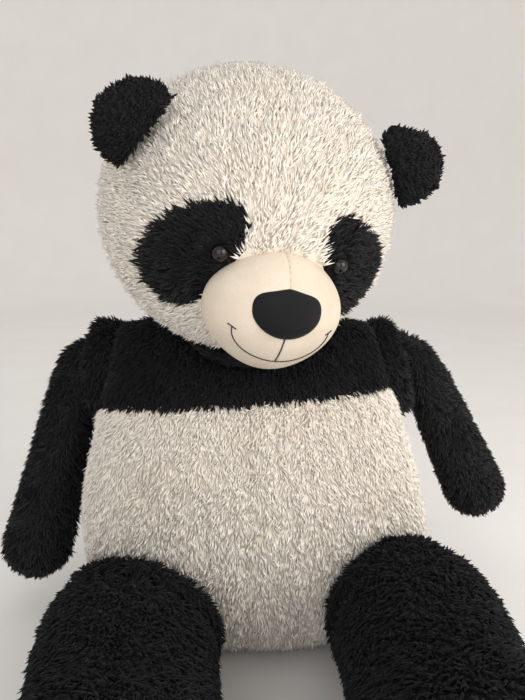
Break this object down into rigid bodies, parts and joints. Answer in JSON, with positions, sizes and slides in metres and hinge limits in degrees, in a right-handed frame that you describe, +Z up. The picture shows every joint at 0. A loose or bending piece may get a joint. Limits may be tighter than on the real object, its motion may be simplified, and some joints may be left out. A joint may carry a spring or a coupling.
{
  "type": "plush panda",
  "caption": "Large sitting stuffed panda with sewn fur panels, soft muzzle, domed eyes, and head, ears, arms and legs that bend at their seams.",
  "frame": {"origin": "on the floor, in the flat underside of the seat panel", "axes": "+Z up, the panda faces -Y, +X is its own left"},
  "size_m": [0.798, 0.6543, 0.739],
  "materials": {
    "black_pile": "long tufted pile, matt",
    "cream_pile": "long tufted pile, matt",
    "cream_velboa": "short nap, soft sheen",
    "black_velboa": "short nap, soft sheen",
    "stuffing": "loose polyester fibre",
    "eye_plastic": "polished",
    "washer_plastic": "moulded",
    "black_thread": "stranded embroidery thread",
    "cream_thread": "sewing thread",
    "label_satin": "blank woven satin"
  },
  "bodies": {
    "torso": {"belly_panel_left": "cream_pile", "belly_panel_right": "cream_pile", "care_label": "label_satin", "chest_yoke": "black_pile", "closing_stitches": "cream_thread", "lower_back_left": "cream_pile", "lower_back_right": "cream_pile", "seat_panel": "cream_pile", "tail_cover": "cream_pile", "tail_stuffing": "stuffing", "torso_stuffing": "stuffing", "upper_back_left": "black_pile", "upper_back_right": "black_pile"},
    "neck_lower": {"neck_ring": "black_pile"},
    "neck_upper": {"neck_stuffing": "stuffing"},
    "head": {"eye_left": "eye_plastic", "eye_patch_left": "black_pile", "eye_patch_right": "black_pile", "eye_right": "eye_plastic", "eye_washer_left": "washer_plastic", "eye_washer_right": "washer_plastic", "face_panel_left": "cream_pile", "face_panel_right": "cream_pile", "head_back_left": "cream_pile", "head_back_right": "cream_pile", "head_stuffing": "stuffing", "mouth_stitches": "black_thread", "muzzle_panel_left": "cream_velboa", "muzzle_panel_right": "cream_velboa", "muzzle_stuffing": "stuffing", "nose": "black_velboa"},
    "ear_left": {"ear_back_left": "black_pile", "ear_front_left": "black_pile", "ear_stuffing_left": "stuffing"},
    "shoulder_left": {"shoulder_gusset_left": "black_pile"},
    "arm_left": {"arm_back_left": "black_pile", "arm_front_left": "black_pile", "arm_stuffing_left": "stuffing"},
    "hip_left": {"hip_gusset_left": "black_pile"},
    "leg_left": {"leg_inner_left": "black_pile", "leg_outer_left": "black_pile", "leg_stuffing_left": "stuffing", "sole_left": "black_velboa"},
    "ear_right": {"ear_back_right": "black_pile", "ear_front_right": "black_pile", "ear_stuffing_right": "stuffing"},
    "shoulder_right": {"shoulder_gusset_right": "black_pile"},
    "arm_right": {"arm_back_right": "black_pile", "arm_front_right": "black_pile", "arm_stuffing_right": "stuffing"},
    "hip_right": {"hip_gusset_right": "black_pile"},
    "leg_right": {"leg_inner_right": "black_pile", "leg_outer_right": "black_pile", "leg_stuffing_right": "stuffing", "sole_right": "black_velboa"}
  },
  "joints": [
    {"name": "head_turn", "type": "hinge", "parent": "torso", "child": "neck_lower", "pos_m": [0, -0.063, 0.528], "axis": [0, 0, 1], "range_deg": [-45, 20], "stiffness_Nm_per_rad": 5, "deforming": ["neck_ring"]},
    {"name": "head_nod", "type": "hinge", "parent": "neck_lower", "child": "neck_upper", "pos_m": [0, -0.063, 0.528], "axis": [0.9659, 0.2588, 0], "range_deg": [-15, 8], "stiffness_Nm_per_rad": 12, "deforming": ["neck_stuffing"]},
    {"name": "head_tilt", "type": "hinge", "parent": "neck_upper", "child": "head", "pos_m": [0, -0.063, 0.528], "axis": [-0.2588, 0.9659, 0], "range_deg": [-14, 7], "stiffness_Nm_per_rad": 12},
    {"name": "ear_fold_left", "type": "hinge", "parent": "head", "child": "ear_left", "pos_m": [0.15555, -0.10042, 0.61728], "axis": [0.3315, 0.3336, -0.8825], "range_deg": [-8, 8], "stiffness_Nm_per_rad": 0.4},
    {"name": "ear_fold_right", "type": "hinge", "parent": "head", "child": "ear_right", "pos_m": [-0.09519, -0.17622, 0.64833], "axis": [0.6473, -0.0377, 0.7613], "range_deg": [-8, 8], "stiffness_Nm_per_rad": 0.4},
    {"name": "arm_swing_left", "type": "hinge", "parent": "torso", "child": "shoulder_left", "pos_m": [0.197, 0.045, 0.375], "axis": [-0.9659, 0, -0.2588], "range_deg": [-8, 115], "stiffness_Nm_per_rad": 4, "deforming": ["shoulder_gusset_left"]},
    {"name": "arm_lift_left", "type": "hinge", "parent": "shoulder_left", "child": "arm_left", "pos_m": [0.18932, 0.03301, 0.40366], "axis": [0.097, -0.9272, -0.3618], "range_deg": [-6, 52], "stiffness_Nm_per_rad": 4},
    {"name": "arm_swing_right", "type": "hinge", "parent": "torso", "child": "shoulder_right", "pos_m": [-0.212, 0.045, 0.375], "axis": [-0.9848, 0, 0.1736], "range_deg": [-25, 100], "stiffness_Nm_per_rad": 4, "deforming": ["shoulder_gusset_right"]},
    {"name": "arm_lift_right", "type": "hinge", "parent": "shoulder_right", "child": "arm_right", "pos_m": [-0.20644, 0.045, 0.40651], "axis": [0, 1, 0], "range_deg": [0, 60], "stiffness_Nm_per_rad": 4},
    {"name": "leg_splay_left", "type": "hinge", "parent": "torso", "child": "hip_left", "pos_m": [0.1937, -0.1, 0.178], "axis": [0, 0, 1], "range_deg": [-5, 15], "stiffness_Nm_per_rad": 8, "deforming": ["hip_gusset_left"]},
    {"name": "leg_lift_left", "type": "hinge", "parent": "hip_left", "child": "leg_left", "pos_m": [0.1937, -0.1, 0.178], "axis": [-0.9998, -0.0175, 0], "range_deg": [0, 25], "stiffness_Nm_per_rad": 8},
    {"name": "leg_splay_right", "type": "hinge", "parent": "torso", "child": "hip_right", "pos_m": [-0.15374, -0.1, 0.178], "axis": [0, 0, -1], "range_deg": [-5, 15], "stiffness_Nm_per_rad": 8, "deforming": ["hip_gusset_right"]},
    {"name": "leg_lift_right", "type": "hinge", "parent": "hip_right", "child": "leg_right", "pos_m": [-0.15374, -0.1, 0.178], "axis": [-0.9877, -0.1564, 0], "range_deg": [0, 25], "stiffness_Nm_per_rad": 8}
  ]
}
